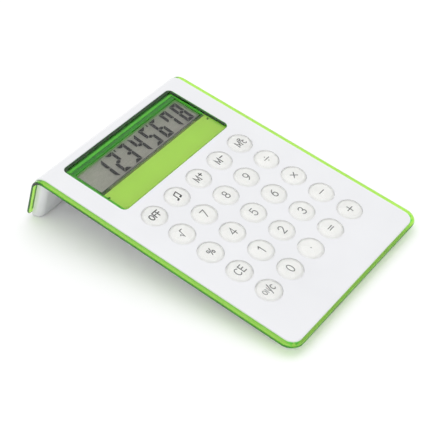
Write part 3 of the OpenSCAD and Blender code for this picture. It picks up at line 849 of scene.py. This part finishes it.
# Each glyph is its width and its strokes, one unit high
GLYPHS = {
    "0": (0.60, [oval(0.30, 0.5, 0.27, 0.5)]),
    "1": (0.46, [[(0.08, 0.78), (0.34, 1), (0.34, 0)]]),
    "2": (0.60, [oval(0.30, 0.72, 0.26, 0.28, 170, -38) + [(0.04, 0), (0.58, 0)]]),
    "3": (0.58, [oval(0.27, 0.745, 0.24, 0.255, 160, -90)[:-1]
                 + oval(0.27, 0.245, 0.28, 0.245, 90, -160)]),
    "4": (0.62, [[(0.46, 0), (0.46, 1), (0.02, 0.30), (0.64, 0.30)]]),
    "5": (0.60, [[(0.54, 1), (0.13, 1), (0.07, 0.52)] + oval(0.29, 0.33, 0.28, 0.33, 128, -155)]),
    "6": (0.60, lower_part()),
    "7": (0.60, [[(0.03, 1), (0.57, 1), (0.20, 0)]]),
    "8": (0.60, [oval(0.30, 0.75, 0.22, 0.25), oval(0.30, 0.25, 0.27, 0.25)]),
    "9": (0.60, half_turned(lower_part())),
    "O": (0.72, [oval(0.36, 0.5, 0.30, 0.5)]),
    "F": (0.56, [[(0.08, 0), (0.08, 1), (0.54, 1)], [(0.08, 0.5), (0.48, 0.5)]]),
    "E": (0.60, [[(0.56, 1), (0.08, 1), (0.08, 0), (0.56, 0)], [(0.08, 0.52), (0.5, 0.52)]]),
    "C": (0.72, [oval(0.38, 0.5, 0.32, 0.5, 45, 315)]),
    "M": (0.82, [[(0.07, 0), (0.07, 1), (0.41, 0.12), (0.75, 1), (0.75, 0)]]),
    "N": (0.68, [[(0.08, 0), (0.08, 1), (0.58, 0), (0.58, 1)]]),
    "R": (0.62, [[(0.08, 0), (0.08, 1)] + oval(0.32, 0.75, 0.22, 0.25, 90, -90) + [(0.08, 0.5)],
                 [(0.34, 0.5), (0.58, 0)]]),
    "/": (0.40, [[(0.0, -0.1), (0.38, 1.1)]]),
    "+": (0.70, [[(0.02, 0.5), (0.68, 0.5)], [(0.35, 0.17), (0.35, 0.83)]]),
    "-": (0.70, [[(0.02, 0.5), (0.68, 0.5)]]),
    "=": (0.70, [[(0.04, 0.62), (0.66, 0.62)], [(0.04, 0.38), (0.66, 0.38)]]),
    "times": (0.70, [[(0.08, 0.23), (0.62, 0.77)], [(0.08, 0.77), (0.62, 0.23)]]),
    "divide": (0.70, [[(0.02, 0.5), (0.68, 0.5)], [(0.34, 0.78), (0.36, 0.78)],
                      [(0.34, 0.22), (0.36, 0.22)]]),
    "point": (0.10, [[(0.04, 0.5), (0.06, 0.5)]]),
    "root": (0.90, [[(0.04, 0.42), (0.16, 0.50), (0.34, 0.02), (0.52, 1), (0.88, 1)]]),
    "percent": (0.96, [oval(0.20, 0.74, 0.15, 0.22), oval(0.76, 0.26, 0.15, 0.22),
                       [(0.26, 0.0), (0.70, 1.0)]]),
    "notes": (0.84, [[(0.30, 0.12), (0.30, 0.86), (0.80, 1.0), (0.80, 0.24)],
                     [(0.10, 0.05), (0.27, 0.10)], [(0.08, 0.13), (0.26, 0.18)],
                     [(0.60, 0.17), (0.77, 0.22)], [(0.58, 0.25), (0.76, 0.30)]]),
}

# Legends: glyphs, the middle of their line across and along, and their height
LEGENDS = {
    "key_off": [("OFF", 0, 0, 2.8)],
    "key_music": [(["notes"], -0.1, 0, 4.1)],
    "key_m_plus": [("M", -1.0, 0, 3.1), ("+", 1.8, 0.8, 2.4)],
    "key_m_minus": [("M", -1.0, 0, 3.1), ("-", 1.8, 0.8, 2.4)],
    "key_mrc": [("M", -1.1, 0, 3.1), ("R", 1.2, 1.1, 2.1), ("C", 1.9, -0.9, 2.1)],
    "key_root": [(["root"], -0.1, 0, 3.5)],
    "key_divide": [(["divide"], 0, 0, 4.3)],
    "key_percent": [(["percent"], 0, 0, 3.1)],
    "key_multiply": [(["times"], 0, 0, 4.2)],
    "key_minus": [("-", 0, 0, 4.4)],
    "key_plus": [("+", 0, 0, 4.6)],
    "key_equals": [("=", 0, 0, 4.2)],
    "key_point": [(["point"], 0, 0, 4.0)],
    "key_ce": [("CE", 0, 0, 3.4)],
    "key_on": [("ON", -1.6, 0.3, 2.2), ("/", 0.45, 0, 3.7), ("C", 2.0, -0.2, 2.4)],
}
DIGIT_HEIGHT = 3.8
LETTER_GAP = 0.10                   # as a share of the height
BOLD_PEN = 0.50
PLAIN_PEN = 0.42
SMALL_HEIGHT = 2.3                  # lettering lower than this has a finer pen
SMALL_PEN = 0.7                     # as a share of the usual pen
STROKE_STEP = 0.001                 # how much each stroke stands above the last
BOLD_KEYS = ("key_off", "key_music", "key_m_plus", "key_m_minus", "key_mrc")


def write(shell, glyphs, u, v, height, pen, bottom, top):
    """Writes a line of glyphs centred on a place. Each stroke is a hair above the last."""
    spacing = LETTER_GAP * height
    widths = [GLYPHS[g][0] * height for g in glyphs]
    x = u - (sum(widths) + spacing * (len(widths) - 1)) / 2
    for glyph, width in zip(glyphs, widths):
        for i, points in enumerate(GLYPHS[glyph][1]):
            spots = [(x + px * height, v + (py - 0.5) * height) for px, py in points]
            stroke(shell, spots, pen, bottom, top + STROKE_STEP * i)
        x += width + spacing


# ---------------------------------------------------------------- keys

CAP_R = 5.6
CAP_FOOT = -1.1                     # the clear cap is moulded over its white core down to here
DOME_REACH = 4.9                    # radius at which the dome meets the rounded shoulder
DOME_R = 17.6
DOME_STEPS = 8
DOME_START = 0.02                   # the dome's first ring, as a share of its angle
SHOULDER_ROUNDING = 0.45
CORE_TOP = -0.30
CORE_R = 4.3
FLANGE_TOP = -1.08
FLANGE_FOOT = -1.6
PLUNGER_R = 2.2
LEGEND_BOTTOM = CORE_TOP - 0.01
LEGEND_TOP = CORE_TOP + 0.02


def key_cap(key, material):
    shell = Shell()
    profile = []
    end = math.asin(DOME_REACH / DOME_R)
    for i in range(DOME_STEPS + 1):
        angle = end * (DOME_START + (1 - DOME_START) * i / DOME_STEPS)
        out, up = math.sin(angle), math.cos(angle)
        profile.append((DOME_R * out, KEY_RISE - DOME_R * (1 - up), out, up))
    edge = profile[-1][1]
    drop = (CAP_R - DOME_REACH) * math.tan(end)
    profile += path((DOME_REACH, edge), (CAP_R, edge - drop, SHOULDER_ROUNDING),
                    (CAP_R, CAP_FOOT, 0.05), (0, CAP_FOOT))
    profile.append((0.1, CAP_FOOT, 0, -1))
    shell.solid(circle(*middle(key), 0, 64), profile)
    piece = shell.piece(key + "_cap", material, key)
    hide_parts(key)


def key_core(key, material):
    low, high = slab_box(key)
    flange_r = (high.x - low.x) / 2
    shell = Shell()
    profile = [(0.1, CORE_TOP, 0, 1)]
    profile += path((0, CORE_TOP), (CORE_R, CORE_TOP, 0.2), (CAP_R - 0.2, FLANGE_TOP, 0.05),
                    (flange_r, FLANGE_TOP, 0.12), (flange_r, FLANGE_FOOT, 0.12),
                    (PLUNGER_R, FLANGE_FOOT, NICK), (PLUNGER_R, low.z, NICK), (0, low.z))
    profile.append((0.1, low.z, 0, -1))
    shell.solid(circle(*middle(key), 0), profile)
    piece = shell.piece(key + "_core", material, key)


def key_legend(key, black, grey):
    u, v = middle(key)
    number = key[len("key_"):]
    lines = LEGENDS.get(key, [(number, 0, 0, DIGIT_HEIGHT)])
    shell = Shell()
    bold = key in BOLD_KEYS
    for glyphs, x, y, height in lines:
        pen = (BOLD_PEN if bold else PLAIN_PEN) * (SMALL_PEN if height < SMALL_HEIGHT else 1)
        write(shell, glyphs, u + x, v + y, height, pen, LEGEND_BOTTOM, LEGEND_TOP)
    piece = shell.piece(key + "_legend", black if bold else grey, key, smooth=False)


# ---------------------------------------------------------------- display

GLASS_LOW, GLASS_HIGH = slab_box("lcd_front_glass")
REAR_GLASS_LOW, REAR_GLASS_HIGH = slab_box("lcd_rear_glass")
CELL_SEATING = 0.05                 # how far the cell beds into the reflector
GLASS_CORNER_R = 0.2

DIGITS = "12345678"
DIGIT_PITCH = 7.55
FIRST_DIGIT = -22.5                 # middle of the first digit's foot
DIGIT_FOOT = 57.4
DIGIT_TALL = 12.7
DIGIT_WIDE = 4.8
SEGMENT_W = 1.7
SEGMENT_GAP = 0.15
SLANT = math.tan(math.radians(4.5))
SEGMENT_LOW = GLASS_LOW.z - 0.006
SEGMENT_HIGH = GLASS_LOW.z + 0.006
MARK_GAP = 0.75                     # from a digit to the tick at its upper right
MARK_TALL = 1.4
MARKED_DIGITS = "25"

# Segments by letter: top, upper right, lower right, foot, lower left, upper left, middle
LIT = {"1": "bc", "2": "abged", "3": "abgcd", "4": "fgbc", "5": "afgcd", "6": "afgcde",
       "7": "abcf", "8": "abcdefg"}


def segment_outline(letter):
    """The corners of one segment in a digit's own box, from its foot's left end."""
    w, t, g = DIGIT_WIDE, SEGMENT_W, SEGMENT_GAP
    top, half = DIGIT_TALL, DIGIT_TALL / 2
    upright = [(0, g), (0, half - g), (t / 2, half - g), (t, half - t / 2 - g), (t, t + g)]
    shapes = {
        "d": [(g, 0), (w - g, 0), (w - t - g, t), (t + g, t)],
        "g": [(t / 2 + g, half), (t + g, half + t / 2), (w - t - g, half + t / 2),
              (w - t / 2 - g, half), (w - t - g, half - t / 2), (t + g, half - t / 2)],
        "e": upright,
    }
    shapes["a"] = [(x, top - y) for x, y in shapes["d"]]
    shapes["f"] = [(x, top - y) for x, y in upright]
    shapes["c"] = [(w - x, y) for x, y in upright]
    shapes["b"] = [(w - x, top - y) for x, y in upright]
    return shapes[letter]


def flat_tile(shell, corners, bottom, top):
    """A thin tile with straight sides."""
    rings = []
    for height, up in ((top, 1), (bottom, -1)):
        ring = [shell.mesh.verts.new((x, y, height)) for x, y in corners]
        for vertex in ring:
            vertex[shell.normal] = (0, 0, up)
        shell.mesh.faces.new(ring)
        rings.append(ring)
    shell.join(*rings)


def slanted(corners, left):
    """Corners moved from a digit's own box to its place on the display."""
    return [(left + x + y * SLANT, DIGIT_FOOT + y) for x, y in corners]


def thousands_mark():
    x, y = DIGIT_WIDE + MARK_GAP, DIGIT_TALL
    return [(x, y - MARK_TALL), (x + 0.75, y - MARK_TALL), (x + 0.95, y), (x + 0.2, y)]


def lcd_segments(material):
    shell = Shell()
    for i, digit in enumerate(DIGITS):
        left = FIRST_DIGIT + i * DIGIT_PITCH - DIGIT_WIDE / 2
        tiles = [segment_outline(letter) for letter in LIT[digit]]
        if digit in MARKED_DIGITS:
            tiles.append(thousands_mark())
        for corners in tiles:
            flat_tile(shell, slanted(corners, left), SEGMENT_LOW, SEGMENT_HIGH)
    piece = shell.piece("lcd_segments", material, "case", smooth=False)


def display_cell(material):
    """The two glasses as one bonded cell, with the rear glass's ledge left clear."""
    low = REAR_GLASS_LOW.z - CELL_SEATING
    shell = Shell()
    front = rounded_rect(GLASS_LOW.x, GLASS_HIGH.x, GLASS_LOW.y, GLASS_HIGH.y,
                         GLASS_CORNER_R, steps=3)
    rear = rounded_rect(REAR_GLASS_LOW.x, REAR_GLASS_HIGH.x, REAR_GLASS_LOW.y,
                        REAR_GLASS_HIGH.y + NICK, GLASS_CORNER_R, steps=3)
    high = GLASS_HIGH.z - 0.01
    top, step = shell.wall(front, path(
        (-1, high), (0, high, 0.05), (0, GLASS_LOW.z, 0.02), (1, GLASS_LOW.z)))
    ledge, bottom = shell.wall(rear, path(
        (-1, GLASS_LOW.z), (0, GLASS_LOW.z, 0.05), (0, low, 0.05), (-1, low)))
    shell.fill(top)
    shell.fill(bottom)
    shell.join(step, ledge)
    piece = shell.piece("lcd_cell", material, "case")
    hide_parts("lcd_front_glass", "lcd_rear_glass")


# ---------------------------------------------------------------- putting it together

def paint(nodes, material):
    for node in nodes:
        data = frame["nodes"][node].data
        data.materials.clear()
        data.materials.append(material)


def build_covers():
    white = gloss_white().data
    top_cover(white)
    trim_plate(green_plastic().data)
    base_cover(white)
    battery_door(white)


def build_keys_and_display():
    cap = clear_plastic().data
    core = cap_white().data
    black = ink("black_ink", (0.004, 0.004, 0.005), (0.012, 0.012, 0.013)).data
    grey = ink("grey_ink", (0.075, 0.077, 0.08), (0.11, 0.112, 0.115)).data
    for key in KEYS:
        key_cap(key, cap)
        key_core(key, core)
        key_legend(key, black, grey)
    lcd_segments(black)
    display_cell(clear_glass().data)


def paint_nodes():
    """Materials of the CAD nodes that are shown as they are."""
    frame_plastic = gloss_white("frame_plastic", (0.90, 0.90, 0.90), (0.94, 0.94, 0.94))
    brass = metal("brass", (0.62, 0.42, 0.14), (0.74, 0.54, 0.22))
    steel = metal("steel", (0.50, 0.50, 0.51), (0.66, 0.66, 0.67))
    paint(["display_frame"], frame_plastic.data)
    paint(["lcd_polariser"], polarising_film().data)
    paint(["lcd_reflector"], reflector_film().data)
    paint(["lcd_connector"], striped_rubber().data)
    paint(["circuit_board"], fibreglass_board().data)
    paint(["keypad_sheet"], silicone().data)
    paint(["contact_pills", "front_feet", "rear_feet"], rubber().data)
    paint(["chip", "resistors"], resin().data)
    paint(["capacitors", "buzzer_ceramic"], ceramic().data)
    paint(["buzzer_plate"], brass.data)
    paint(["buzzer_leads"], wire_cover().data)
    paint(["button_cell", "battery_contact_positive", "battery_contact_negative", "case_screws"],
          steel.data)


# ---------------------------------------------------------------- floor, light and camera

CAMERA_PLACE = (-0.31314, -0.23735, 0.35126)
CAMERA_AZIMUTH = 52.43              # from +Y towards +X, degrees
CAMERA_ELEVATION = 41.46
CAMERA_ROLL = -1.07
CAMERA_LENS = 99.14
FLOOR_HALF = 3.0
FLOOR_DROP = 0.00005                # keeps the floor clear of the feet
LAMP_PLACE = (0.12, 0.10, 1.18)
LAMP_SIZE = 1.2
LAMP_POWER = 3.6


def add_camera():
    data = bpy.data.cameras.new("camera")
    data.lens = CAMERA_LENS
    data.clip_start = 0.01
    camera = bpy.data.objects.new("camera", data)
    bpy.context.scene.collection.objects.link(camera)
    turn = Matrix.Rotation(math.radians(-CAMERA_AZIMUTH), 4, "Z")
    tip = Matrix.Rotation(math.radians(90 - CAMERA_ELEVATION), 4, "X")
    roll = Matrix.Rotation(math.radians(CAMERA_ROLL), 4, "Z")
    camera.matrix_world = Matrix.Translation(CAMERA_PLACE) @ turn @ tip @ roll
    bpy.context.scene.camera = camera


def add_floor():
    shell = bmesh.new()
    bmesh.ops.create_grid(shell, x_segments=8, y_segments=8, size=FLOOR_HALF)
    data = bpy.data.meshes.new("floor")
    shell.to_mesh(data)
    shell.free()
    m = Material("pale_floor", Specular_IOR_Level=0.1)
    m.tones(3, (0.90, 0.90, 0.905), (0.92, 0.92, 0.925)).wear(10, 0.75, 0.85)
    data.materials.append(m.data)
    floor = bpy.data.objects.new("floor", data)
    floor.location.z = -FLOOR_DROP
    bpy.context.scene.collection.objects.link(floor)


def add_lamp():
    data = bpy.data.lights.new("key_lamp", "AREA")
    data.shape = "DISK"
    data.size = LAMP_SIZE
    data.energy = LAMP_POWER
    lamp = bpy.data.objects.new("key_lamp", data)
    lamp.location = LAMP_PLACE
    lamp.rotation_euler = Vector(LAMP_PLACE).to_track_quat("Z", "Y").to_euler()
    bpy.context.scene.collection.objects.link(lamp)


def add_light():
    world = bpy.data.worlds.new("studio")
    world.use_nodes = True
    background = next(n for n in world.node_tree.nodes if n.type == "BACKGROUND")
    background.inputs["Color"].default_value = (1, 1, 1, 1)
    background.inputs["Strength"].default_value = 1.0
    bpy.context.scene.world = world
    add_lamp()
    bpy.context.scene.view_settings.view_transform = "Standard"
    bpy.context.scene.cycles.blur_glossy = 0.0


add_camera()
add_floor()
add_light()
build_covers()
build_keys_and_display()
paint_nodes()
